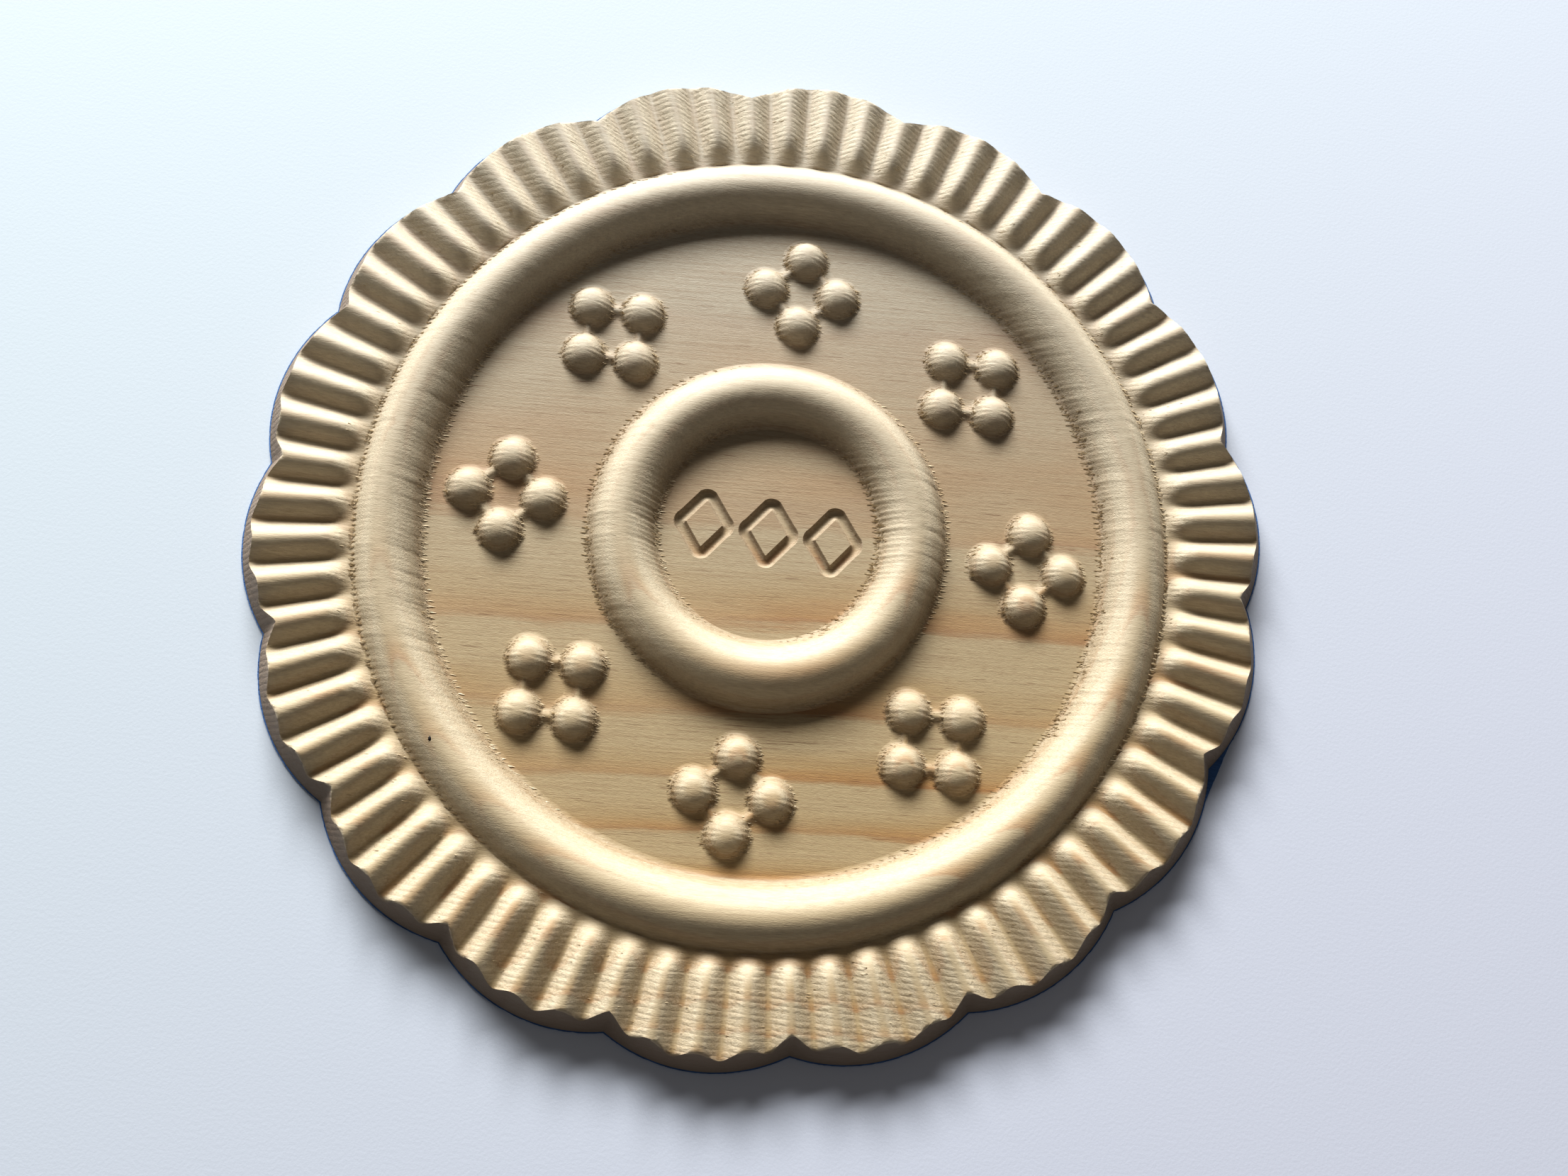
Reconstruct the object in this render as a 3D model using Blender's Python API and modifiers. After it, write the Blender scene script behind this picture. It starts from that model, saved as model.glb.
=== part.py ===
"""A round cookie carved from pine, with a scalloped, fluted rim, lying on a thin blue backing sheet.

Metres, +Z up. The origin is on the surface that it lies on, under the middle of its pattern. The grain runs
along X, and turns are measured clockwise from +Y, seen from above.
"""

import math

import bmesh
import bpy
from mathutils import Matrix, Vector

MM = 0.001

# Heights above the surface that it lies on
BACKING_THICKNESS = 0.5 * MM
CLEARANCE = 0.3 * MM
FLOOR_HEIGHT = 3.4 * MM
BEAD_HEIGHT = 9.2 * MM
FLUTE_VALLEY_HEIGHT = 5.2 * MM
FLUTE_DEPTH = 2.4 * MM

# Scalloped outline: its arcs at the height of the flutes' crests, and the wall below them
LOBES = 18
LOBE_PEAK_RADIUS = 94.0 * MM
LOBE_ARC_RADIUS = 28.0 * MM
WALL_FLARE = math.tan(math.radians(30))

# Flutes, from the foot of the outer bead to the edge
FLUTES = 72
FLUTE_FOOT_RADIUS = 78.4 * MM
FLUTE_ROUNDING = 2.4 * MM
STEPS_PER_FLUTE = 6

# The two round beads
OUTER_BEAD_RADIUS = 71.3 * MM
OUTER_BEAD_HALF_WIDTH = 6.7 * MM
INNER_BEAD_RADIUS = 27.7 * MM
INNER_BEAD_HALF_WIDTH = 7.0 * MM
BEAD_ARC_STEPS = 8
OUTER_BEAD_STEPS = 96
INNER_BEAD_STEPS = 64
BURIED = 1.0 * MM

# Eight clusters of four round dots, each an upright diamond when it is turned to the top
CLUSTERS = 8
CLUSTER_RADIUS = 50.0 * MM
DOT_REACH = 7.1 * MM
DOT_RADIUS = 4.25 * MM
DOT_HEIGHT = 3.3 * MM
DOT_SEGMENTS = 12
DOT_RINGS = 8

# Row of three engraved lozenges in the middle
LOZENGES = 3
LOZENGE_PITCH = 11.8 * MM
LOZENGE_HALF_WIDTH = 4.6 * MM
LOZENGE_HALF_HEIGHT = 5.6 * MM
LOZENGE_CORNER = 1.1 * MM
GROOVE_DEPTH = 1.0 * MM
GROOVE_TOOL_RADIUS = 1.1 * MM

# Backing sheet: a little wider than the wood, and straight across one notch of the rim
BACKING_MARGIN = 0.25 * MM
BACKING_STEPS = 216
BRIDGED_NOTCH = math.radians(110)

MERGE_DISTANCE = 0.01 * MM
SHARP_EDGE = math.radians(35)

WOOD_UNDERSIDE = BACKING_THICKNESS + CLEARANCE
CREST_HEIGHT = FLUTE_VALLEY_HEIGHT + FLUTE_DEPTH
LOBE_PITCH = 2 * math.pi / LOBES
WOOD_FOOT_ARC_RADIUS = LOBE_ARC_RADIUS + WALL_FLARE * (CREST_HEIGHT - WOOD_UNDERSIDE)
BACKING_ARC_RADIUS = WOOD_FOOT_ARC_RADIUS + BACKING_MARGIN


def clear_scene():
    for old in list(bpy.data.objects):
        bpy.data.objects.remove(old, do_unlink=True)


def new_collection(name):
    collection = bpy.data.collections.new(name)
    bpy.context.scene.collection.children.link(collection)
    return collection


def move_to(collection, obj):
    for holder in list(obj.users_collection):
        holder.objects.unlink(obj)
    collection.objects.link(obj)


def plain_material(name, colour, roughness):
    material = bpy.data.materials.new(name)
    material.use_nodes = True
    shader = material.node_tree.nodes["Principled BSDF"]
    shader.inputs["Base Color"].default_value = (*colour, 1.0)
    shader.inputs["Roughness"].default_value = roughness
    shader.inputs["Metallic"].default_value = 0.0
    return material


def settle(obj):
    """Replace an object's mesh with its evaluated one, and drop its modifiers."""
    depsgraph = bpy.context.evaluated_depsgraph_get()
    mesh = bpy.data.meshes.new_from_object(obj.evaluated_get(depsgraph))
    obj.modifiers.clear()
    obj.data = mesh


def turned(name, profile, closed, steps, collection):
    """Turn a profile of (radius, height) points round the Z axis."""
    shape = bmesh.new()
    points = [shape.verts.new((radius, 0.0, height)) for radius, height in profile]
    for first, second in zip(points, points[1:]):
        shape.edges.new((first, second))
    if closed:
        shape.edges.new((points[-1], points[0]))
    mesh = bpy.data.meshes.new(name)
    shape.to_mesh(mesh)
    shape.free()
    obj = bpy.data.objects.new(name, mesh)
    collection.objects.link(obj)
    screw = obj.modifiers.new("Turn", "SCREW")
    screw.axis = "Z"
    screw.steps = steps
    screw.render_steps = steps
    screw.use_merge_vertices = True
    screw.merge_threshold = MERGE_DISTANCE
    settle(obj)
    return obj


def outline_radius(turn, arc_radius):
    """Distance from the axis to the scalloped outline whose lobes are arcs of this radius."""
    from_peak = (turn + LOBE_PITCH / 2) % LOBE_PITCH - LOBE_PITCH / 2
    arc_centre = LOBE_PEAK_RADIUS - LOBE_ARC_RADIUS
    across = arc_centre * math.sin(from_peak)
    return arc_centre * math.cos(from_peak) + math.sqrt(arc_radius**2 - across**2)


def flute_height(turn, rise):
    """Height of the fluted surface, where rise goes from 0 at the foot of the bead to 1 on the full flutes."""
    wave = 0.5 + 0.5 * math.cos(FLUTES * turn)
    return FLUTE_VALLEY_HEIGHT + FLUTE_DEPTH * wave * rise


def make_plate(collection):
    """The flat floor, the fluted rim and the flared wall, turned as a disc and then cut to its lobes."""
    shelf_radius = OUTER_BEAD_RADIUS + BURIED
    rounded_radius = FLUTE_FOOT_RADIUS + FLUTE_ROUNDING
    rise_at = {FLUTE_FOOT_RADIUS: 0.0, rounded_radius: 1.0, LOBE_PEAK_RADIUS: 1.0}
    foot_radius = LOBE_PEAK_RADIUS + WOOD_FOOT_ARC_RADIUS - LOBE_ARC_RADIUS
    profile = [(OUTER_BEAD_RADIUS - BURIED, FLOOR_HEIGHT), (shelf_radius, FLUTE_VALLEY_HEIGHT)]
    profile += [(radius, FLUTE_VALLEY_HEIGHT) for radius in rise_at]
    profile += [(foot_radius, WOOD_UNDERSIDE)]
    plate = turned("cookie", profile, False, FLUTES * STEPS_PER_FLUTE, collection)

    shape = bmesh.new()
    shape.from_mesh(plate.data)
    for vert in shape.verts:
        turn = math.atan2(vert.co.x, vert.co.y)
        station = vert.co.xy.length
        radius = station
        if station > (LOBE_PEAK_RADIUS + foot_radius) / 2:
            radius = outline_radius(turn, WOOD_FOOT_ARC_RADIUS)
        elif station > (shelf_radius + FLUTE_FOOT_RADIUS) / 2:
            nearest = min(rise_at, key=lambda known: abs(known - station))
            vert.co.z = flute_height(turn, rise_at[nearest])
            if nearest == LOBE_PEAK_RADIUS:
                below_crest = CREST_HEIGHT - vert.co.z
                radius = outline_radius(turn, LOBE_ARC_RADIUS + WALL_FLARE * below_crest)
        vert.co.xy = vert.co.xy.normalized() * radius
    bmesh.ops.holes_fill(shape, edges=[edge for edge in shape.edges if edge.is_boundary], sides=0)
    bmesh.ops.recalc_face_normals(shape, faces=shape.faces)
    shape.to_mesh(plate.data)
    shape.free()
    return plate


def make_bead(name, radius, half_width, steps, collection):
    """A round moulding of half-elliptic section on the floor, its facets out of step with the rim's."""
    rise = BEAD_HEIGHT - FLOOR_HEIGHT
    arc = [math.pi * step / BEAD_ARC_STEPS for step in range(BEAD_ARC_STEPS + 1)]
    profile = [(radius - half_width * math.cos(a), FLOOR_HEIGHT + rise * math.sin(a)) for a in arc]
    profile[0] = (radius - half_width, FLOOR_HEIGHT - BURIED)
    profile[-1] = (radius + half_width, FLOOR_HEIGHT - BURIED)
    bead = turned(name, profile, True, steps, collection)
    bead.rotation_euler.z = math.pi / (2 * FLUTES * STEPS_PER_FLUTE)
    return bead


def make_dome_mesh():
    """The top of a ball, closed by a flat face just under the floor that it stands on."""
    ball_radius = (DOT_RADIUS**2 + DOT_HEIGHT**2) / (2 * DOT_HEIGHT)
    shape = bmesh.new()
    bmesh.ops.create_uvsphere(shape, u_segments=DOT_SEGMENTS, v_segments=DOT_RINGS, radius=ball_radius)
    bmesh.ops.translate(shape, verts=shape.verts, vec=(0.0, 0.0, DOT_HEIGHT - ball_radius))
    cut = bmesh.ops.bisect_plane(
        shape,
        geom=shape.verts[:] + shape.edges[:] + shape.faces[:],
        plane_co=(0.0, 0.0, -BURIED),
        plane_no=(0.0, 0.0, 1.0),
        clear_inner=True,
    )
    rim = [edge for edge in cut["geom_cut"] if isinstance(edge, bmesh.types.BMEdge)]
    bmesh.ops.holes_fill(shape, edges=rim, sides=0)
    bmesh.ops.recalc_face_normals(shape, faces=shape.faces)
    mesh = bpy.data.meshes.new("dome")
    shape.to_mesh(mesh)
    shape.free()
    return mesh


def make_dots(collection):
    """Round dots, four to a cluster, one step of the pattern apart."""
    dome = make_dome_mesh()
    for cluster in range(CLUSTERS):
        to_cluster = Matrix.Rotation(-2 * math.pi * cluster / CLUSTERS, 4, "Z")
        for dot in range(4):
            offset = Matrix.Rotation(math.pi / 2 * dot, 4, "Z") @ Vector((0.0, DOT_REACH, 0.0))
            dot_object = bpy.data.objects.new(f"dot_{cluster + 1}_{dot + 1}", dome)
            dot_object.location = to_cluster @ (Vector((0.0, CLUSTER_RADIUS, FLOOR_HEIGHT)) + offset)
            collection.objects.link(dot_object)


def lozenge_points():
    """A lozenge with its corners cut, so that the groove turns them softly."""
    corners = [
        Vector((0.0, LOZENGE_HALF_HEIGHT)),
        Vector((LOZENGE_HALF_WIDTH, 0.0)),
        Vector((0.0, -LOZENGE_HALF_HEIGHT)),
        Vector((-LOZENGE_HALF_WIDTH, 0.0)),
    ]
    points = []
    for index, corner in enumerate(corners):
        for neighbour in (corners[index - 1], corners[(index + 1) % 4]):
            points.append(corner + (neighbour - corner).normalized() * LOZENGE_CORNER)
    return points


def make_lozenge_cutter(index, collection):
    """The path of a round-nosed tool along a lozenge, as a closed tube."""
    curve = bpy.data.curves.new(f"lozenge_cutter_{index + 1}", "CURVE")
    curve.dimensions = "3D"
    curve.bevel_depth = GROOVE_TOOL_RADIUS
    curve.bevel_resolution = 2
    points = lozenge_points()
    spline = curve.splines.new("POLY")
    spline.points.add(len(points) - 1)
    centre = (index - (LOZENGES - 1) / 2) * LOZENGE_PITCH
    height = FLOOR_HEIGHT - GROOVE_DEPTH + GROOVE_TOOL_RADIUS
    for target, point in zip(spline.points, points):
        target.co = (centre + point.x, point.y, height, 1.0)
    spline.use_cyclic_u = True
    path = bpy.data.objects.new(curve.name, curve)
    collection.objects.link(path)
    depsgraph = bpy.context.evaluated_depsgraph_get()
    mesh = bpy.data.meshes.new_from_object(path.evaluated_get(depsgraph))
    name = path.name
    bpy.data.objects.remove(path, do_unlink=True)
    shape = bmesh.new()
    shape.from_mesh(mesh)
    bmesh.ops.remove_doubles(shape, verts=shape.verts, dist=MERGE_DISTANCE)
    bmesh.ops.recalc_face_normals(shape, faces=shape.faces)
    shape.to_mesh(mesh)
    shape.free()
    cutter = bpy.data.objects.new(name, mesh)
    cutter.hide_render = True
    cutter.display_type = "WIRE"
    collection.objects.link(cutter)


def boolean(obj, operation, collection):
    modifier = obj.modifiers.new(operation.title(), "BOOLEAN")
    modifier.operation = operation
    modifier.operand_type = "COLLECTION"
    modifier.collection = collection
    modifier.solver = "EXACT"


def make_cookie(parts, cutters):
    plate = make_plate(parts)
    raised = new_collection("raised work")
    make_bead("outer_bead", OUTER_BEAD_RADIUS, OUTER_BEAD_HALF_WIDTH, OUTER_BEAD_STEPS, raised)
    make_bead("inner_bead", INNER_BEAD_RADIUS, INNER_BEAD_HALF_WIDTH, INNER_BEAD_STEPS, raised)
    make_dots(raised)
    boolean(plate, "UNION", raised)
    bpy.context.view_layer.update()
    settle(plate)
    for joined in list(raised.objects):
        bpy.data.objects.remove(joined, do_unlink=True)
    bpy.data.collections.remove(raised)

    for index in range(LOZENGES):
        make_lozenge_cutter(index, cutters)
    boolean(plate, "DIFFERENCE", cutters)
    plate.data.materials.clear()
    plate.data.materials.append(plain_material("pine", (0.60, 0.43, 0.26), 0.62))
    plate.data.shade_smooth()
    plate.data.set_sharp_from_angle(angle=SHARP_EDGE)
    return plate


def make_backing(parts):
    """Blue sheet under the wood, trimmed along the outline, and left straight across one notch."""
    bpy.ops.mesh.primitive_cylinder_add(
        vertices=BACKING_STEPS,
        radius=LOBE_PEAK_RADIUS,
        depth=BACKING_THICKNESS,
        location=(0.0, 0.0, BACKING_THICKNESS / 2),
    )
    backing = bpy.context.object
    backing.name = "backing_sheet"
    move_to(parts, backing)
    bridge = outline_radius(0.0, BACKING_ARC_RADIUS) * math.cos(LOBE_PITCH / 2)
    for vert in backing.data.vertices:
        turn = math.atan2(vert.co.x, vert.co.y)
        radius = outline_radius(turn, BACKING_ARC_RADIUS)
        from_notch = turn - BRIDGED_NOTCH
        if abs(from_notch) < LOBE_PITCH / 2:
            radius = max(radius, bridge / math.cos(from_notch))
        vert.co.xy = vert.co.xy.normalized() * radius
    backing.data.materials.append(plain_material("blue_sheet", (0.07, 0.17, 0.36), 0.7))
    backing.data.shade_smooth()
    backing.data.set_sharp_from_angle(angle=SHARP_EDGE)
    return backing


clear_scene()
part_collection = new_collection("carved cookie")
cutter_collection = new_collection("cutters")
make_cookie(part_collection, cutter_collection)
make_backing(part_collection)
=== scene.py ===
import math
import random

import bmesh
import bpy
from mathutils import Matrix, Vector, noise


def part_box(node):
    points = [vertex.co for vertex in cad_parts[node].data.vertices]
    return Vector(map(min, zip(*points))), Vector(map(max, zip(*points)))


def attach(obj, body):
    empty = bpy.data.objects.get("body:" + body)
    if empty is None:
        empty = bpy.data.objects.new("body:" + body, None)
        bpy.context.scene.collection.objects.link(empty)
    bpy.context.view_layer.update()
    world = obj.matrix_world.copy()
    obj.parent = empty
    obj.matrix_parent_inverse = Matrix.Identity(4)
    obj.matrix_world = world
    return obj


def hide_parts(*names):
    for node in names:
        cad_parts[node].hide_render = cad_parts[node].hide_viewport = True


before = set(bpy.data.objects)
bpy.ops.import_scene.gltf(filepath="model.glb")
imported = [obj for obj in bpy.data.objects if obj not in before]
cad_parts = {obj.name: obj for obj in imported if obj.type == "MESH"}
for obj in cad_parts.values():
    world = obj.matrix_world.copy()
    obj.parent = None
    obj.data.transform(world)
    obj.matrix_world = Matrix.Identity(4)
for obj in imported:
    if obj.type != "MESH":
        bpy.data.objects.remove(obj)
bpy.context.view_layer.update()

mm = 0.001
joinedWithin = 0.002 * mm  # vertices nearer than this are one
levelNormal = 0.999999  # the upward part of a level face's normal
sheetLow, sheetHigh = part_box("backing_sheet")


# Shared by the wood and the sheet: the scalloped outline, turns counted clockwise from +Y
outline = {
    "lobes": 18,
    "peakRadius": 94.0 * mm,
    "arcRadius": 28.0 * mm,
    "flare": 0.53,  # how far the wall runs out for each length down
}
lobePitch = 2 * math.pi / outline["lobes"]


def outlineRadius(turn, grown):
    # the arcs grow by this much, as they do down the flared wall
    fromPeak = (turn + lobePitch / 2) % lobePitch - lobePitch / 2
    arcCentre = outline["peakRadius"] - outline["arcRadius"]
    across = arcCentre * math.sin(fromPeak)
    return arcCentre * math.cos(fromPeak) + math.sqrt((outline["arcRadius"] + grown) ** 2 - across**2)


def softMax(a, b, width):
    # the larger of two heights, with the corner between them filleted
    return max(a, b) + max(width - abs(a - b), 0.0) ** 2 / (4 * width)


def clamp(value):
    return max(0.0, min(1.0, value))


def finished(name, shape, sharpAngle, material, replaced):
    # a bmesh becomes a piece of the model, which may stand for a CAD node
    bmesh.ops.remove_doubles(shape, verts=shape.verts, dist=joinedWithin)
    bmesh.ops.recalc_face_normals(shape, faces=shape.faces)
    mesh = bpy.data.meshes.new(name)
    shape.to_mesh(mesh)
    shape.free()
    mesh.shade_smooth()
    mesh.set_sharp_from_angle(angle=math.radians(sharpAngle))
    for face in mesh.polygons:
        if face.normal.z > levelNormal:
            face.use_smooth = False  # so that the flat floor takes no tilt from what stands on it
    mesh.materials.append(material)
    piece = bpy.data.objects.new(name, mesh)
    bpy.context.scene.collection.objects.link(piece)
    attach(piece, "root")
    if replaced:
        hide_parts(replaced)
    print(name, "has", sum(len(face.vertices) - 2 for face in mesh.polygons), "triangles")


# Nodes written as expressions
class Wire:
    def __init__(self, finish, socket):
        self.finish = finish
        self.socket = socket

    def maths(self, operation, *others):
        values = {index: other for index, other in enumerate((self, *others))}
        return self.finish.add("ShaderNodeMath", {"operation": operation}, values)

    def __add__(self, other):
        return self.maths("ADD", other)

    def __radd__(self, other):
        return self.maths("ADD", other)

    def __sub__(self, other):
        return self.maths("SUBTRACT", other)

    def __rsub__(self, other):
        return (self * -1.0) + other

    def __mul__(self, other):
        return self.maths("MULTIPLY", other)

    def __rmul__(self, other):
        return self.maths("MULTIPLY", other)

    def __truediv__(self, other):
        return self.maths("DIVIDE", other)


class Finish:
    def __init__(self, name):
        self.material = bpy.data.materials.new(name)
        self.material.use_nodes = True
        self.tree = self.material.node_tree
        self.shader = self.tree.nodes["Principled BSDF"]

    def add(self, kind, settings, values, output=0):
        node = self.tree.nodes.new(kind)
        stops = settings.pop("stops", None)
        for key, value in settings.items():
            setattr(node, key, value)
        if stops:
            while len(node.color_ramp.elements) < len(stops):
                node.color_ramp.elements.new(1.0)
            for element, (place, colour) in zip(node.color_ramp.elements, stops):
                element.position = place
                element.color = colour
        for key, value in values.items():
            if isinstance(value, Wire):
                self.tree.links.new(value.socket, node.inputs[key])
            else:
                node.inputs[key].default_value = value
        return Wire(self, node.outputs[output])

    def millimetres(self):
        # the place on the piece
        coordinates = self.add("ShaderNodeTexCoord", {}, {}, 3)
        return self.add("ShaderNodeVectorMath", {"operation": "SCALE"}, {0: coordinates, 3: 1 / mm})

    def axes(self, vector):
        # the three numbers of a vector
        split = self.add("ShaderNodeSeparateXYZ", {}, {0: vector}).socket.node
        return [Wire(self, output) for output in split.outputs]

    def mix(self, factor, first, second):
        values = {0: factor, 6: first, 7: second}
        return self.add("ShaderNodeMix", {"data_type": "RGBA"}, values, 2)

    def between(self, value, low, high):
        # a smooth step from 0 at low to 1 at high
        values = {"Value": value, "From Min": low, "From Max": high}
        return self.add("ShaderNodeMapRange", {"interpolation_type": "SMOOTHSTEP"}, values)

    def streaks(self, place, stretch, detail=2.0, roughness=0.5):
        # noise drawn out along X; stretch gives its cycles in each millimetre
        scaled = self.add("ShaderNodeVectorMath", {"operation": "MULTIPLY"}, {0: place, 1: stretch})
        values = {"Vector": scaled, "Scale": 1.0, "Detail": detail, "Roughness": roughness}
        return self.add("ShaderNodeTexNoise", {}, values)

    def link(self, name, value):
        if isinstance(value, Wire):
            self.tree.links.new(value.socket, self.shader.inputs[name])
        else:
            self.shader.inputs[name].default_value = value


def shade(red, green, blue):
    # a colour as a screen shows it, 0 to 255, as linear light
    parts = [part / 255 for part in (red, green, blue)]
    return (*[part / 12.92 if part <= 0.04045 else ((part + 0.055) / 1.055) ** 2.4 for part in parts], 1.0)


# The wood's finish, with places in mm
pine = {
    "grainTurn": 4.5,  # degrees anticlockwise from X
    "ringSpacing": 2.4,  # mm from shell to shell
    "ringBow": 0.00155,  # how fast the shells dip away from the board's middle
    "ringMiddle": 25.0,
    "ringStart": 0.217,
    "ringStrength": 0.46,
    "ringVariation": 0.44,
    "steeperAcross": (-62.0, -86.0),  # mm across the grain, where the shells stand up
    "closerAcross": (-60.0, -110.0),
    "pale": shade(172, 155, 123),
    "tan": shade(164, 140, 101),
    "orange": shade(163, 126, 79),
    "ringLine": shade(153, 114, 72),
    "grey": shade(162, 157, 146),
    "greyAcross": (-55.0, 75.0),
    "greyness": 0.72,
    # pale torn fibres on steep slopes, and painted highlight there
    "tornAndPaintedLight": shade(230, 219, 196),
    "tornAndPaintedLightSteepness": (0.004, 0.22),
    # heights across which the painted shade at the feet turns to painted highlight at the tops
    "paintedLightHeights": (3.5, 7.2),
    "paintedFootShade": 0.30,
    "streak": shade(130, 102, 78),
    "streakDepth": 0.20,
    "fineDepth": 0.32,
    "canal": shade(104, 74, 50),
    "canalDepth": 0.5,
    # painted shade on the outer wall
    "wall": shade(146, 130, 116),
    "wallRadii": (84.0, 88.0),
    "wallSteepness": (0.40, 0.52),
    "wallPaintedShade": 0.85,
    "rimRadii": (75.0, 79.0),
    "rimCusps": 2.3,  # how much deeper the tool's steps are on the flutes
    "toolStep": 1.07,
    "toolCusp": 0.04,
}


def pineMaterial():
    finish = Finish("carvedPine")
    place = finish.millimetres()
    turn = (0.0, 0.0, -math.radians(pine["grainTurn"]))
    grain = finish.add("ShaderNodeMapping", {}, {"Vector": place, "Rotation": turn})
    _, across, up = finish.axes(grain)
    facing = finish.axes(finish.add("ShaderNodeNewGeometry", {}, {}, 1))
    endGrain = facing[0].maths("ABSOLUTE")
    steep = 1.0 - facing[2].maths("ABSOLUTE")

    # growth rings: shells that lie almost flat in the board, and dip away from its middle
    drift = finish.streaks(grain, (0.008, 0.03, 0.03), 1.0)
    wander = finish.streaks(grain, (0.02, 0.14, 0.14), 2.0)
    fray = finish.streaks(grain, (0.12, 2.2, 2.2), 3.0, 0.7)
    fromMiddle = across - pine["ringMiddle"]
    steeper = finish.between(across, *pine["steeperAcross"])
    ring = (up * (1.0 - steeper * 0.8) + fromMiddle * fromMiddle * pine["ringBow"]) / pine["ringSpacing"]
    ring = ring + pine["ringStart"] + finish.between(across, *pine["closerAcross"]) * 2.5
    ring = ring + (drift - 0.5) * 0.6 + (wander - 0.5) * 0.5 + (fray - 0.5) * 0.20
    phase = ring.maths("FRACT")
    ramp = finish.add(
        "ShaderNodeValToRGB",
        {"stops": [
            (0.0, pine["pale"]),
            (0.34, pine["pale"]),
            (0.62, pine["tan"]),
            (0.84, pine["orange"]),
            (0.91, pine["ringLine"]),
            (1.0, pine["pale"]),
        ]},
        {0: phase},
    )
    patchy = finish.between(finish.streaks(grain, (0.018, 0.05, 0.05), 1.0), 0.38, 0.62)
    tornAndPaintedLight = finish.between(steep, *pine["tornAndPaintedLightSteepness"])
    fainter = 1.0 - tornAndPaintedLight * (1.0 - steeper) * 0.4
    strength = (pine["ringStrength"] + patchy * pine["ringVariation"]) * fainter
    colour = finish.mix(strength, pine["pale"], ramp)
    greyer = finish.between(across, *pine["greyAcross"]) * pine["greyness"]
    colour = finish.mix(greyer, colour, pine["grey"])

    # fine streaks and short dark resin canals along the grain
    streak = finish.streaks(grain, (0.045, 2.4, 2.4), 3.0, 0.6)
    fine = finish.streaks(grain, (0.7, 7.0, 7.0), 3.0, 0.7)
    darker = finish.between(streak, 0.42, 0.72) * pine["streakDepth"]
    darker = darker + finish.between(fine, 0.42, 0.72) * pine["fineDepth"]
    colour = finish.mix(darker, colour, pine["streak"])
    canals = finish.between(finish.streaks(grain, (0.14, 3.4, 3.4), 1.0), 0.69, 0.75)
    colour = finish.mix(canals * pine["canalDepth"], colour, pine["canal"])

    # steep slopes are paler, partly from the fibres the tool tore and partly as painted highlight; painted
    # highlight makes them paler still towards their tops, and painted shade darkens their feet
    ragged = finish.streaks(place, (0.35, 3.0, 3.0), 3.0, 0.65)
    high = finish.between(up, *pine["paintedLightHeights"])
    # painted shade at the feet of the slopes
    colour = finish.mix(tornAndPaintedLight * (1.0 - high) * pine["paintedFootShade"], colour, pine["streak"])
    # painted highlight towards the tops of the slopes, over paler torn fibres
    paler = tornAndPaintedLight * (finish.between(ragged, 0.3, 0.7) * 0.20 + 0.06) + high * (tornAndPaintedLight * 0.14 + 0.20)
    colour = finish.mix(paler, colour, pine["tornAndPaintedLight"])

    # painted shade: the outer wall is darker
    radius = finish.add("ShaderNodeVectorMath", {"operation": "LENGTH"}, {0: place}, 1)
    wall = finish.between(radius, *pine["wallRadii"]) * finish.between(steep, *pine["wallSteepness"])
    colour = finish.mix(wall * pine["wallPaintedShade"], colour, pine["wall"])
    finish.link("Base Color", colour)

    # marks of the round-nosed tool, which went to and fro along X
    lanes = finish.axes(place)[1]
    wobble = finish.streaks(place, (0.05, 0.3, 0.3), 1.0)
    passes = ((lanes + wobble * 0.5) * (math.pi / pine["toolStep"])).maths("SINE").maths("ABSOLUTE")
    deeper = finish.between(finish.streaks(place, (0.04, 0.9, 0.9), 1.0), 0.35, 0.65) * 0.8 + 0.3
    onRim = finish.between(radius, *pine["rimRadii"]) * pine["rimCusps"]
    cusps = passes * deeper * (steep * 0.5 + endGrain * (onRim + 0.7) + 0.05) * pine["toolCusp"]
    fuzz = finish.streaks(place, (0.5, 3.6, 3.6), 4.0, 0.7)
    hairs = finish.streaks(place, (1.3, 9.0, 9.0), 2.0, 0.6)
    height = cusps + fuzz * (steep * 0.10 + endGrain * 0.10 + 0.03)
    height = height + hairs * (steep * 0.12 + 0.045) + streak * 0.03
    bump = finish.add("ShaderNodeBump", {}, {"Strength": 1.0, "Distance": mm, "Height": height})
    finish.link("Normal", bump)
    finish.link("Roughness", finish.between(streak, 0.3, 0.7) * 0.12 + 0.58)
    return finish.material


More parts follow.
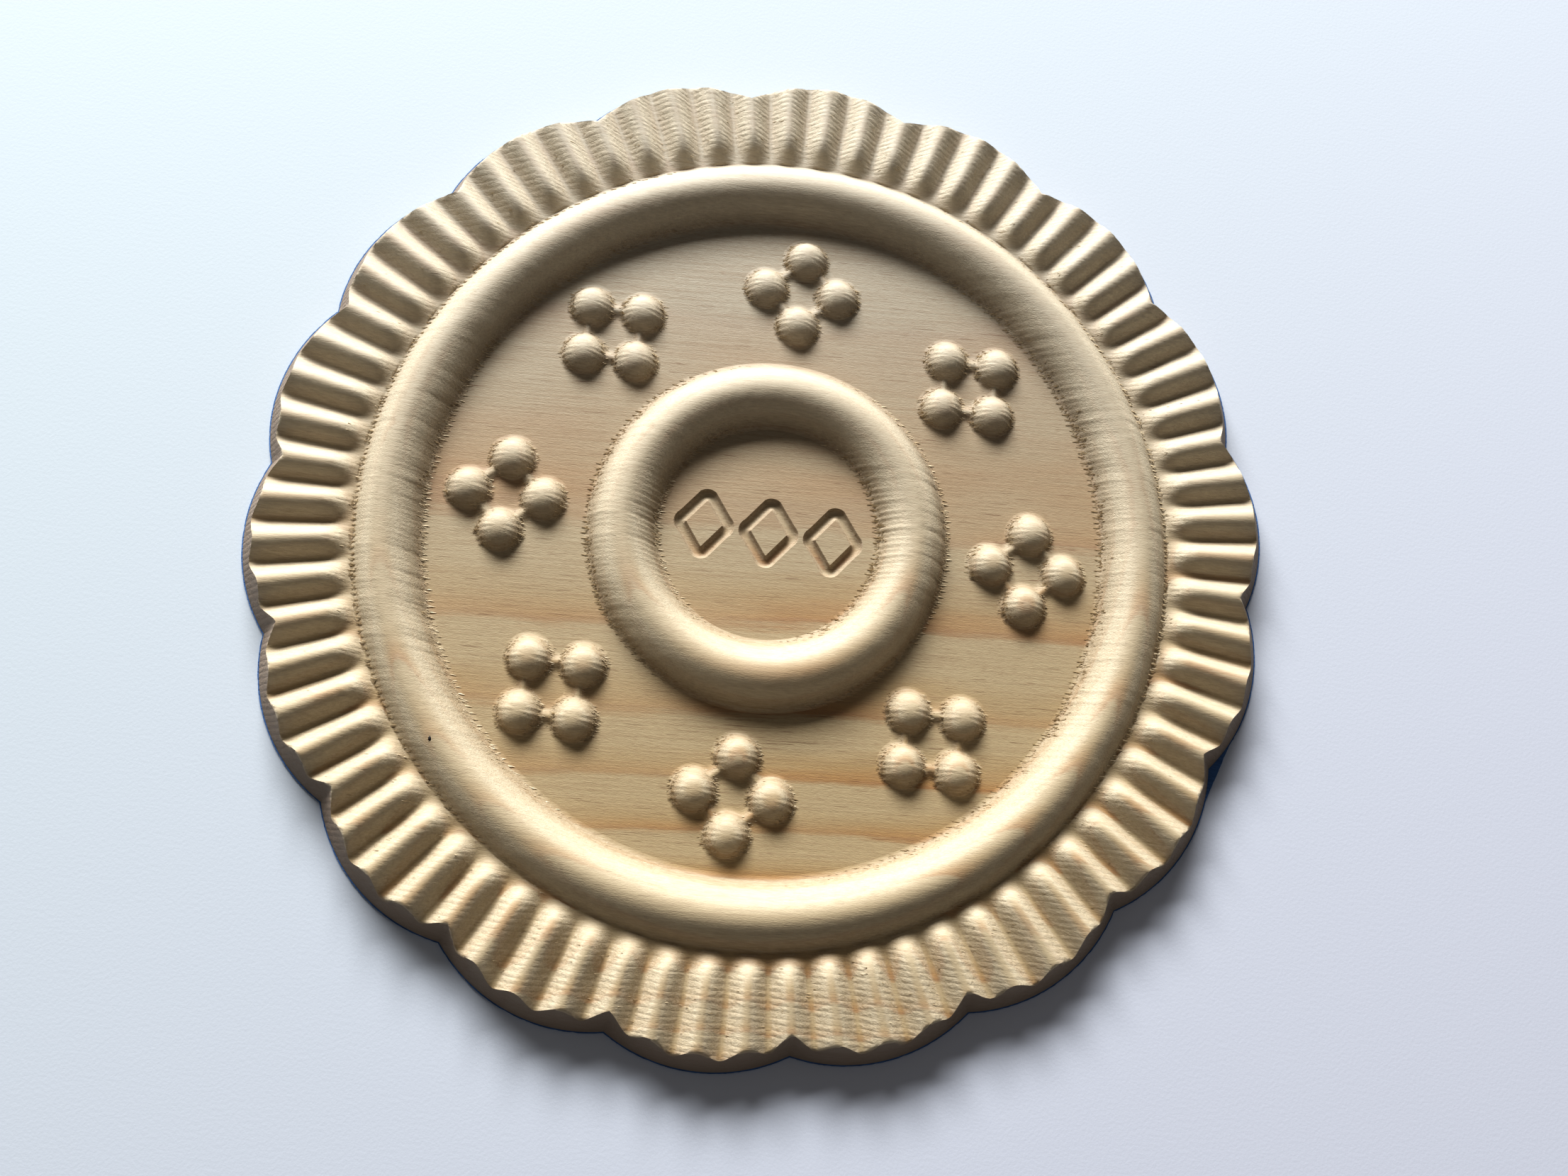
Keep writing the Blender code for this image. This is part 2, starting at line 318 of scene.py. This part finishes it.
# Relief of the wood, heights above the paper
wood = {
    "floor": 3.4 * mm,
    "bead": 9.15 * mm,  # the top of both rings
    "outerBead": 71.2 * mm,
    "outerHalfWidth": 6.5 * mm,
    "outerCrown": 0.84,  # share of the half width that takes most of the faces
    "outerReach": 7.9 * mm,
    "innerBead": 27.7 * mm,
    "innerHalfWidth": 6.45 * mm,
    "innerCrown": 0.92,
    "innerReach": 8.0 * mm,
    "innerSteps": 440,
    "fillet": 0.9 * mm,
    "valley": 4.9 * mm,
    "fluteDepth": 2.9 * mm,
    "flutes": 72,
    "fluteFoot": 77.3 * mm,
    "fluteLead": 0.9 * mm,
    "fluteRounding": 5.8 * mm,  # length over which a flute rises from the ring
    "crestFullness": 0.8,
    "stepsPerFlute": 13,
    "edgeDrop": 0.13 * mm,  # the rim's worn upper edge
    "edgeOut": 0.03 * mm,
    "clusters": 8,
    "clusterRadius": 50.0 * mm,
    "dotReach": 7.1 * mm,
    "dotRadius": 4.3 * mm,
    "dotHeight": 3.3 * mm,
    "dotFullness": 2.4,
    "dotFillet": 0.6 * mm,
    "dotRings": (0.0, 0.18, 0.36, 0.52, 0.66, 0.78, 0.87, 0.94, 0.99, 1.03),
    "dotSteps": 64,
    "neckHeight": 0.8 * mm,
    "neckWidth": 1.15 * mm,
    "patchRadius": 4.98 * mm,
    "toolPitch": 1.07 * mm,
    "toolDrag": 0.09 * mm,
    "wander": 2.2,
    "wanderLength": 30 * mm,
    "wanderApart": 0.77,  # noise cells from one pass to the next
    "wanderSlice": 2.5,
    "roughness": 0.03 * mm,
    "roughStretch": (0.35, 1.6, 1.6),
    "roughAbove": 0.05 * mm,
    "sharpAngle": 50,
}
slack = 0.1 * mm  # tells one ring of vertices from the next
nearly = 0.01 * mm
flatWithin = 0.001 * mm
crest = wood["valley"] + wood["fluteDepth"]
wallDrop = crest - sheetHigh.z


def moundHeight(distance, halfWidth, rise, fullness=2.0):
    # a rounded crown that goes on straight past its foot
    share = distance / halfWidth
    return rise * (1 - share**fullness) if share < 1 else rise * fullness * (1 - share)


def beadHeight(radius):
    rise = wood["bead"] - wood["floor"]
    if radius > (wood["innerBead"] + wood["outerBead"]) / 2:
        mound = moundHeight(abs(radius - wood["outerBead"]), wood["outerHalfWidth"], rise)
        base = 0.0 if radius < wood["outerBead"] else wood["valley"] - wood["floor"]
    else:
        mound = moundHeight(abs(radius - wood["innerBead"]), wood["innerHalfWidth"], rise)
        base = 0.0
    return wood["floor"] + softMax(mound, base, wood["fillet"])


def dragged(place):
    # each pass of the tool, along the grain, lies a little to one side of the last
    lane = place.y / wood["toolPitch"]
    passNumber = math.floor(lane)
    sample = Vector((place.x / wood["wanderLength"], passNumber * wood["wanderApart"], wood["wanderSlice"]))
    across = math.cos(2 * math.pi * (lane - passNumber - 0.5))
    shift = wood["toolDrag"] * (wood["wander"] * noise.noise(sample) + across)
    return Vector((place.x + shift, place.y))


def beadStations(centre, halfWidth, reachIn, reachOut):
    # radii across a bead, closest together at its feet
    shares = (0.0, 0.14, 0.28, 0.42, 0.56, 0.68, 0.79, 0.88, 0.95)
    stations = {centre + side * share * halfWidth for share in shares for side in (-1, 1)}
    for share in (0.0, 0.25, 0.5, 0.8, 1.0):
        stations.add(centre - halfWidth - (reachIn - halfWidth) * share)
        stations.add(centre + halfWidth + (reachOut - halfWidth) * share)
    return sorted(stations)


def spun(shape, stations, steps, centre=(0.0, 0.0)):
    # a grid wrapped round the centre, one row of it at each radius, at the floor's height
    rows = len(stations) - 1
    grid = bmesh.ops.create_grid(shape, x_segments=steps, y_segments=rows, size=0.5)["verts"]
    for vert in grid:
        turn = 2 * math.pi * (vert.co.x + 0.5)
        radius = stations[round((vert.co.y + 0.5) * rows)]
        vert.co = (centre[0] + radius * math.sin(turn), centre[1] + radius * math.cos(turn), wood["floor"])


def dotCentres():
    centres = []
    for cluster in range(wood["clusters"]):
        turned = Matrix.Rotation(-2 * math.pi * cluster / wood["clusters"], 3, "Z")
        for dot in range(4):
            offset = Matrix.Rotation(math.pi / 2 * dot, 3, "Z") @ Vector((0.0, wood["dotReach"], 0.0))
            centres.append((turned @ (Vector((0.0, wood["clusterRadius"], 0.0)) + offset)).to_2d())
    return centres


centres = dotCentres()


def nearestDot(place):
    return min(range(len(centres)), key=lambda index: (centres[index] - place).length_squared)


def dotHeight(place, index):
    # one dome, with a low neck towards each of its two neighbours
    centre = centres[index]
    distance = (dragged(place) - centre).length
    mound = moundHeight(distance, wood["dotRadius"], wood["dotHeight"], wood["dotFullness"])
    raised = 0.0
    for turn in (1, 3):
        along = (centres[index - index % 4 + (index + turn) % 4] - centre).normalized()
        beside = (place - centre).cross(along) / wood["neckWidth"]
        if (place - centre).dot(along) > 0:
            raised = max(raised, wood["neckHeight"] * math.exp(-1.6 * beside * beside))
    return softMax(mound, raised, wood["dotFillet"])


def fluteHeight(turn, radius):
    wave = (0.5 + 0.5 * math.cos(wood["flutes"] * turn)) ** wood["crestFullness"]
    share = clamp((radius - wood["fluteFoot"] + wood["fluteLead"]) / wood["fluteRounding"])
    return wood["valley"] + wood["fluteDepth"] * wave * share * share * (3 - 2 * share)


def shapeRim(vert):
    # stations past the bead's foot become flutes, lobes and the flared wall
    station = vert.co.xy.length
    turn = math.atan2(vert.co.x, vert.co.y)
    top = fluteHeight(turn, outline["peakRadius"])
    edge = outlineRadius(turn, outline["flare"] * (crest - top))
    if station <= outline["peakRadius"]:
        share = (station - wood["fluteFoot"]) / (outline["peakRadius"] - wood["fluteFoot"])
        radius = wood["fluteFoot"] + share * (edge - wood["fluteFoot"])
        moved = dragged(vert.co.xy.normalized() * radius)
        height = fluteHeight(math.atan2(moved.x, moved.y), radius)
        if share > 0.999:
            height -= wood["edgeDrop"]
            radius += wood["edgeOut"]
    else:
        share = (station - outline["peakRadius"]) / wallDrop
        radius = edge + share * (outlineRadius(turn, outline["flare"] * wallDrop) - edge)
        height = top + share * (sheetHigh.z - top)
    vert.co.xy = vert.co.xy.normalized() * radius
    vert.co.z = height


motif = {
    "count": 3,
    "pitch": 12.4 * mm,
    "coreHalfWidth": 3.3 * mm,
    "coreHalfHeight": 4.4 * mm,
    "cornerRadius": 1.3 * mm,
    "toolRadius": 1.1 * mm,
    "depth": 1.0 * mm,
    "lip": 0.12 * mm,
    "cutStep": 21,  # degrees round the groove's section
    "cornerSteps": 7,
    "sideSteps": 7,
}


def lozengeLoop(shape, centre, away):
    # a ring of points at this distance outside the lozenge's core, with round corners
    steps = 4 * (motif["cornerSteps"] + motif["sideSteps"])
    ring = bmesh.ops.create_circle(shape, segments=steps, radius=1.0)["verts"]
    half = (motif["coreHalfWidth"], motif["coreHalfHeight"])
    normal = math.atan2(half[0], half[1])
    spans = [(-normal, normal), (normal, math.pi - normal)]
    spans += [(low + math.pi, high + math.pi) for low, high in spans]
    corners = [(0.0, 1.0), (1.0, 0.0), (0.0, -1.0), (-1.0, 0.0)]
    placed = []
    for (across, upward), (low, high) in zip(corners, spans):
        arc = []
        for step in range(motif["cornerSteps"] + 1):
            angle = low + (high - low) * step / motif["cornerSteps"]
            corner = (across * half[0] + away * math.sin(angle), upward * half[1] + away * math.cos(angle))
            arc.append(Vector(corner))
        placed.append(arc)
    points = []
    for index, arc in enumerate(placed):
        following = placed[(index + 1) % 4][0]
        between = [step / motif["sideSteps"] for step in range(1, motif["sideSteps"])]
        points += arc + [arc[-1].lerp(following, share) for share in between]
    for vert, point in zip(ring, points):
        vert.co = (centre + point.x, point.y, wood["floor"])
    edges = {edge for vert in ring for edge in vert.link_edges}
    return list(edges)


def lozenge(shape, centre):
    # each cut is an angle round the groove's section, and how far its lip lies beyond it
    cuts = [(-90, -motif["lip"])]
    cuts += [(angle, 0.0) for angle in range(-84, 85, motif["cutStep"])]
    cuts += [(90, motif["lip"])]
    loops = []
    for angle, lip in cuts:
        away = motif["toolRadius"] * math.sin(math.radians(angle)) + lip
        loops.append((lozengeLoop(shape, centre, motif["cornerRadius"] + away), angle))
    for edges, angle in loops[1:-1]:
        for vert in {vert for edge in edges for vert in edge.verts}:
            vert.co.z -= motif["depth"] * math.cos(math.radians(angle))
    for (inner, _), (outer, _) in zip(loops, loops[1:]):
        bmesh.ops.bridge_loops(shape, edges=inner + outer)
    bmesh.ops.holes_fill(shape, edges=loops[0][0], sides=0)


def fillFlat(shape, low, high):
    # the flat floor between the rims of what stands on it
    edges = []
    for edge in shape.edges:
        reach = max(vert.co.xy.length for vert in edge.verts)
        level = max(abs(vert.co.z - wood["floor"]) for vert in edge.verts)
        if edge.is_boundary and low <= reach <= high and level < flatWithin:
            edges.append(edge)
    bmesh.ops.triangle_fill(shape, use_beauty=True, edges=edges, normal=(0.0, 0.0, 1.0))


def rimStations():
    # radii across the flutes, and then heights down the wall as radii past the rim
    span = outline["peakRadius"] - wood["fluteFoot"]
    shares = (0.012, 0.03, 0.06, 0.1, 0.15, 0.2, 0.32, 0.48, 0.64, 0.8, 0.93, 0.975, 1.0)
    stations = [wood["fluteFoot"] + share * span for share in shares]
    return stations + [outline["peakRadius"] + share * wallDrop for share in (0.09, 0.3, 0.6, 0.9, 1.0)]


def raiseRelief(vert):
    # lifts one point of the flat pattern to its height
    place = vert.co.xy
    radius = place.length
    onOuter = wood["outerBead"] - wood["outerReach"] + slack < radius
    onInner = abs(radius - wood["innerBead"]) < wood["innerReach"] - slack
    if radius > wood["fluteFoot"] + nearly:
        shapeRim(vert)
    elif onOuter or onInner:
        vert.co.z = beadHeight(dragged(place).length)
    elif radius > wood["innerBead"]:
        nearest = nearestDot(place)
        if (centres[nearest] - place).length < wood["patchRadius"] + nearly:
            vert.co.z += dotHeight(place, nearest)
    if vert.co.z > wood["floor"] + wood["roughAbove"]:
        sample = Vector([part * stretch for part, stretch in zip(vert.co, wood["roughStretch"])]) / mm
        vert.co.z += wood["roughness"] * noise.noise(sample)


def buildWood(material):
    shape = bmesh.new()
    outerCrown = wood["outerHalfWidth"] * wood["outerCrown"]
    outerFoot = wood["fluteFoot"] - wood["outerBead"]
    stations = beadStations(wood["outerBead"], outerCrown, wood["outerReach"], outerFoot) + rimStations()
    spun(shape, stations, wood["flutes"] * wood["stepsPerFlute"])
    innerCrown = wood["innerHalfWidth"] * wood["innerCrown"]
    stations = beadStations(wood["innerBead"], innerCrown, wood["innerReach"], wood["innerReach"])
    spun(shape, stations, wood["innerSteps"])
    stations = [wood["dotRadius"] * ring for ring in wood["dotRings"]] + [wood["patchRadius"]]
    for centre in centres:
        spun(shape, stations, wood["dotSteps"], centre)
    bmesh.ops.remove_doubles(shape, verts=shape.verts, dist=joinedWithin)
    outerEdge = wood["outerBead"] - wood["outerReach"]
    fillFlat(shape, wood["innerBead"] + wood["innerReach"] - slack, outerEdge + slack)
    for index in range(motif["count"]):
        lozenge(shape, (index - (motif["count"] - 1) / 2) * motif["pitch"])
    fillFlat(shape, 0.0, wood["innerBead"] - wood["innerReach"] + slack)
    base = [edge for edge in shape.edges if edge.is_boundary]
    bmesh.ops.holes_fill(shape, edges=base, sides=0)
    for vert in shape.verts:
        raiseRelief(vert)
    finished("carvedCookie", shape, wood["sharpAngle"], material, "cookie")


# Fibres that the tool left standing where it crossed the grain, lengths and widths in mm
fibres = {
    "seed": 11,
    "doublings": 13,
    "apart": 4.0,
    "combLength": (0.7, 1.4),
    "combWidth": (0.12, 0.22),
    "combLift": (0.02, 0.10),
    "combJitter": 0.1,
    "combSpan": 0.35,  # share of the radius that a pass must reach along the grain
    "hairLength": (0.4, 1.1),
    "hairWidth": (0.05, 0.09),
    "hairLift": (0.04, 0.3),
    "hairShares": (0.34, 0.54, 0.60),  # on the outer ring, up to the inner one, up to the rim
    "hairSlope": (0.2, 1.2),
    "outerFeet": (-6.4, 6.0),
    "innerFeet": (-6.4, 6.4),
    "footSpread": 0.5,
    "rimRadii": (77.5, 92.0),
    "dotRadii": (3.3, 4.7),
    "skew": 0.12,
    "sunk": 0.10,
    "dotBand": (37, 62),  # radii between which the dots stand
    "dotComb": 0.5,
    "dotHair": 0.95,
    "slopeStep": 0.15,
    "colour": shade(206, 192, 164),
    "shaded": shade(176, 156, 124),
    "sharpAngle": 60,
}


def reliefAt(place):
    # height of the carved face anywhere inside the rim
    radius = place.length
    if radius > wood["fluteFoot"]:
        return fluteHeight(math.atan2(place.x, place.y), radius)
    onInner = abs(radius - wood["innerBead"]) < wood["innerReach"]
    if onInner or radius > wood["outerBead"] - wood["outerReach"]:
        return beadHeight(radius)
    nearest = nearestDot(place)
    if (centres[nearest] - place).length < wood["patchRadius"]:
        return wood["floor"] + dotHeight(place, nearest)
    return wood["floor"]


def downhill(place):
    # which way along X the face falls, and how steeply
    step = Vector((fibres["slopeStep"] * mm, 0.0))
    slope = (reliefAt(place + step) - reliefAt(place - step)) / (2 * step.x)
    return (-1.0 if slope > 0 else 1.0), abs(slope)


def combPlaces(draw):
    # one tongue at the end of each pass of the tool, where it met the foot of a bead or a dot
    middle = (0.0, 0.0)
    feet = [
        (middle, wood["outerBead"] - wood["outerHalfWidth"] - 0.1 * mm, -1),
        (middle, wood["innerBead"] + wood["innerHalfWidth"] + 0.1 * mm, 1),
        (middle, wood["innerBead"] - wood["innerHalfWidth"] - 0.1 * mm, -1),
        (middle, wood["outerBead"] + wood["outerHalfWidth"] * 0.8, 1),
    ]
    feet += [(tuple(centre), wood["dotRadius"] + 0.05 * mm, 1) for centre in centres]
    places = []
    for (middleX, middleY), radius, outward in feet:
        lane = math.ceil((middleY - radius) / wood["toolPitch"])
        while lane * wood["toolPitch"] < middleY + radius:
            y = lane * wood["toolPitch"] + draw.uniform(-fibres["combJitter"], fibres["combJitter"]) * mm
            reach = math.sqrt(max(radius**2 - (y - middleY) ** 2, 0.0))
            if reach > fibres["combSpan"] * radius:
                for side in (-1, 1):
                    places.append((Vector((middleX + side * reach, y)), side * outward))
            lane += 1
    return places


def hairRoot(draw):
    # a random place at the foot of a ring, on the rim or at a dot's edge
    turn = draw.uniform(0, 2 * math.pi)
    pick = draw.random()
    outer, inner, rim = fibres["hairShares"]
    middle = Vector((0.0, 0.0))
    if pick < outer:
        radius = wood["outerBead"] + draw.choice(fibres["outerFeet"]) * mm
        radius += draw.gauss(0.0, fibres["footSpread"]) * mm
    elif pick < inner:
        radius = wood["innerBead"] + draw.choice(fibres["innerFeet"]) * mm
        radius += draw.gauss(0.0, fibres["footSpread"]) * mm
    elif pick < rim:
        radius = draw.uniform(*fibres["rimRadii"]) * mm
    else:
        middle = draw.choice(centres)
        radius = draw.uniform(*fibres["dotRadii"]) * mm
    return middle + Vector((math.sin(turn), math.cos(turn))) * radius


def hairPlaces(draw, count):
    # more of them where the face is steeper along the grain
    places = []
    while len(places) < count:
        place = hairRoot(draw)
        side, slope = downhill(place)
        if slope > draw.uniform(*fibres["hairSlope"]):
            places.append((place, side))
    return places


def fibreMaterial():
    finish = Finish("raisedFibre")
    place = finish.millimetres()
    varied = finish.streaks(place, (0.3, 1.3, 1.3), 2.0)
    colour = finish.mix(finish.between(varied, 0.35, 0.65), fibres["colour"], fibres["shaded"])
    finish.link("Base Color", colour)
    finish.link("Roughness", finish.between(varied, 0.3, 0.7) * 0.1 + 0.6)
    return finish.material


def manySpikes(shape, count):
    # doubled until there are this many, side by side along X, and sorted by their place there
    turned = Matrix.Rotation(0.5, 4, "Z")
    bmesh.ops.create_cone(
        shape, cap_ends=True, segments=3, radius1=1.0, radius2=0.12, depth=1.0, matrix=turned
    )
    made = 1
    while made < count:
        geometry = shape.verts[:] + shape.edges[:] + shape.faces[:]
        copied = bmesh.ops.duplicate(shape, geom=geometry)["geom"]
        copies = [item for item in copied if isinstance(item, bmesh.types.BMVert)]
        bmesh.ops.translate(shape, verts=copies, vec=(fibres["apart"] * made, 0.0, 0.0))
        made *= 2
    spikes = [[] for _ in range(count)]
    for vert in shape.verts:
        spikes[round(vert.co.x / fibres["apart"])].append(vert)
    return spikes


def laySpike(draw, spike, middle, place, side, wide):
    # one fibre from its root on the face, downhill along the grain
    low, high = fibres["dotBand"]
    onFloor = low * mm < place.length < high * mm
    shrunk = fibres["dotComb" if wide else "dotHair"] if onFloor else 1.0
    length = draw.uniform(*fibres["combLength" if wide else "hairLength"]) * shrunk * mm
    width = draw.uniform(*fibres["combWidth" if wide else "hairWidth"]) * shrunk * mm
    root = Vector((place.x, place.y, reliefAt(place)))
    skew = draw.uniform(-fibres["skew"], fibres["skew"])
    ahead = Vector((place.x + side * length, place.y + skew * length))
    lift = draw.uniform(*fibres["combLift" if wide else "hairLift"]) * mm
    tip = Vector((ahead.x, ahead.y, reliefAt(ahead) + lift))
    sunk = Vector((0.0, 0.0, (width if wide else fibres["sunk"] * mm) * 0.55))
    along = tip - root + sunk
    turned = along.to_track_quat("Z", "Y").to_matrix()
    for vert in spike:
        sideways = vert.co.x - middle
        local = Vector((sideways * width, vert.co.y * width, (vert.co.z + 0.5) * along.length))
        vert.co = root - sunk + turned @ local


def buildFibres(material):
    draw = random.Random(fibres["seed"])
    shape = bmesh.new()
    total = 2 ** fibres["doublings"]
    spikes = manySpikes(shape, total)
    comb = [(place, side, True) for place, side in combPlaces(draw)]
    hairs = [(place, side, False) for place, side in hairPlaces(draw, total - len(comb))]
    for index, (place, side, wide) in enumerate(comb + hairs):
        laySpike(draw, spikes[index], index * fibres["apart"], place, side, wide)
    finished("raisedFibres", shape, fibres["sharpAngle"], material, None)


# One black speck on the outer ring
speck = {
    "turn": math.radians(228.5),
    "radius": 72.2 * mm,
    "size": 0.42 * mm,
    "lumps": 0.35,
    "lumpScale": 3000,
    "width": 0.72,
    "height": 0.3,
    "black": shade(22, 20, 20),
    "brown": shade(52, 44, 40),
    "sharpAngle": 60,
}


def speckMaterial():
    finish = Finish("blackSpeck")
    varied = finish.streaks(finish.millimetres(), (6.0, 6.0, 6.0))
    finish.link("Base Color", finish.mix(varied, speck["black"], speck["brown"]))
    finish.link("Roughness", 0.7)
    return finish.material


def buildSpeck(material):
    shape = bmesh.new()
    bmesh.ops.create_icosphere(shape, subdivisions=2, radius=speck["size"])
    place = Vector((math.sin(speck["turn"]), math.cos(speck["turn"]))) * speck["radius"]
    for vert in shape.verts:
        vert.co *= 1 + speck["lumps"] * noise.noise(vert.co * speck["lumpScale"])
        vert.co.x *= speck["width"]
        vert.co.z *= speck["height"]
        vert.co += Vector((place.x, place.y, reliefAt(place)))
    finished("blackSpeck", shape, speck["sharpAngle"], material, None)


# Camera
view = {
    "place": (-7.46 * mm, -70.16 * mm, 243.2 * mm),
    "forward": (0.04761, 0.24221, -0.96906),
    "upward": (-0.14554, 0.96149, 0.23317),
    "lens": 30.11,
    "sensor": 36.0,
    "clip": 0.01,
}


def addCamera():
    forward = Vector(view["forward"]).normalized()
    sideways = forward.cross(Vector(view["upward"])).normalized()
    upward = sideways.cross(forward)
    camera = bpy.data.cameras.new("camera")
    camera.lens = view["lens"]
    camera.sensor_width = view["sensor"]
    camera.clip_start = view["clip"]
    holder = bpy.data.objects.new("camera", camera)
    turned = Matrix((sideways, upward, -forward)).transposed().to_4x4()
    holder.matrix_world = Matrix.Translation(view["place"]) @ turned
    bpy.context.scene.collection.objects.link(holder)
    bpy.context.scene.camera = holder
    print("camera placed")


# Paper, light and sky
studio = {
    "halfPaper": 2.0,
    "paper": shade(192, 201, 206),
    "farPaper": shade(196, 199, 209),
    "lightTurn": 20.0,
    "lightRise": 28.5,
    "lightDistance": 1.9,
    "lightWidth": 1.35,
    "lightHeight": 0.56,
    "lightWatts": 94.0,
    "lightColour": (0.98, 0.99, 1.0),
    "sky": (1.0, 0.97, 0.95),
    "skyStrength": 0.20,
    "fadeWay": (0.7, -0.7, 0.0),  # from the window's corner to the far one
    "fadeReach": 170.0,
    "exposure": -0.45,
}


def paperMaterial():
    finish = Finish("paper")
    place = finish.millimetres()
    fibre = finish.streaks(place, (1.6, 1.6, 1.6), 3.0, 0.6)
    along = {0: place, 1: studio["fadeWay"]}
    # painted light: the paper's tint shifts from the window's corner to the far one
    corner = finish.add("ShaderNodeVectorMath", {"operation": "DOT_PRODUCT"}, along, 1)
    faded = finish.between(corner, -studio["fadeReach"], studio["fadeReach"])
    finish.link("Base Color", finish.mix(faded, studio["paper"], studio["farPaper"]))
    finish.link("Roughness", 0.85)
    bump = {"Strength": 0.25, "Distance": 0.1 * mm, "Height": fibre}
    finish.link("Normal", finish.add("ShaderNodeBump", {}, bump))
    return finish.material


def addStudio():
    shape = bmesh.new()
    bmesh.ops.create_grid(shape, x_segments=8, y_segments=8, size=studio["halfPaper"])
    mesh = bpy.data.meshes.new("paper")
    shape.to_mesh(mesh)
    shape.free()
    mesh.materials.append(paperMaterial())
    paper = bpy.data.objects.new("paper", mesh)
    bpy.context.scene.collection.objects.link(paper)

    lamp = bpy.data.lights.new("window", "AREA")
    lamp.shape = "RECTANGLE"
    lamp.size = studio["lightWidth"]
    lamp.size_y = studio["lightHeight"]
    lamp.energy = studio["lightWatts"]
    lamp.color = studio["lightColour"]
    holder = bpy.data.objects.new("window", lamp)
    turn = math.radians(studio["lightTurn"])
    rise = math.radians(studio["lightRise"])
    way = Vector((-math.sin(turn) * math.cos(rise), math.cos(turn) * math.cos(rise), math.sin(rise)))
    holder.location = way * studio["lightDistance"]
    holder.rotation_euler = (-way).to_track_quat("-Z", "Y").to_euler()
    bpy.context.scene.collection.objects.link(holder)

    world = bpy.data.worlds.new("room")
    world.use_nodes = True
    background = world.node_tree.nodes["Background"]
    background.inputs[0].default_value = (*studio["sky"], 1.0)
    background.inputs[1].default_value = studio["skyStrength"]
    bpy.context.scene.world = world
    settings = bpy.context.scene.view_settings
    settings.view_transform = "Standard"
    settings.look = "High Contrast"
    settings.exposure = studio["exposure"]
    print("paper, window light and sky placed")


# The thin blue sheet stuck under the wood
sheet = {
    "margin": 0.25 * mm,  # how far it shows past the wall
    "ragged": 0.16 * mm,
    "raggedScale": 900,
    "steps": 1296,
    "bridgedNotch": math.radians(110),
    "sharpAngle": 35,
    "colour": shade(74, 112, 160),
    "dark": shade(52, 84, 128),
}


def sheetMaterial():
    finish = Finish("blueSheet")
    place = finish.millimetres()
    crepe = finish.streaks(place, (0.5, 3.0, 3.0), 3.0, 0.6)
    colour = finish.mix(finish.between(crepe, 0.35, 0.7) * 0.7, sheet["colour"], sheet["dark"])
    finish.link("Base Color", colour)
    finish.link("Roughness", 0.7)
    finish.link("Normal", finish.add("ShaderNodeBump", {}, {"Distance": 0.15 * mm, "Height": crepe}))
    return finish.material


def buildSheet(material):
    shape = bmesh.new()
    bmesh.ops.create_circle(shape, cap_ends=True, segments=sheet["steps"], radius=outline["peakRadius"])
    grown = outline["flare"] * wallDrop + sheet["margin"]
    bridge = outlineRadius(0.0, grown) * math.cos(lobePitch / 2)
    for vert in shape.verts:
        turn = math.atan2(vert.co.x, vert.co.y)
        radius = outlineRadius(turn, grown)
        fromNotch = turn - sheet["bridgedNotch"]
        if abs(fromNotch) < lobePitch / 2:
            radius = max(radius, bridge / math.cos(fromNotch))
        radius -= sheet["ragged"] * abs(noise.noise(vert.co * sheet["raggedScale"]))
        vert.co.xy = vert.co.xy.normalized() * radius
    face = bmesh.ops.extrude_face_region(shape, geom=shape.faces[:])
    raised = [item for item in face["geom"] if isinstance(item, bmesh.types.BMVert)]
    bmesh.ops.translate(shape, verts=raised, vec=(0.0, 0.0, sheetHigh.z - sheetLow.z))
    finished("blueSheet", shape, sheet["sharpAngle"], material, "backing_sheet")


addCamera()
buildWood(pineMaterial())
buildFibres(fibreMaterial())
buildSpeck(speckMaterial())
buildSheet(sheetMaterial())
addStudio()
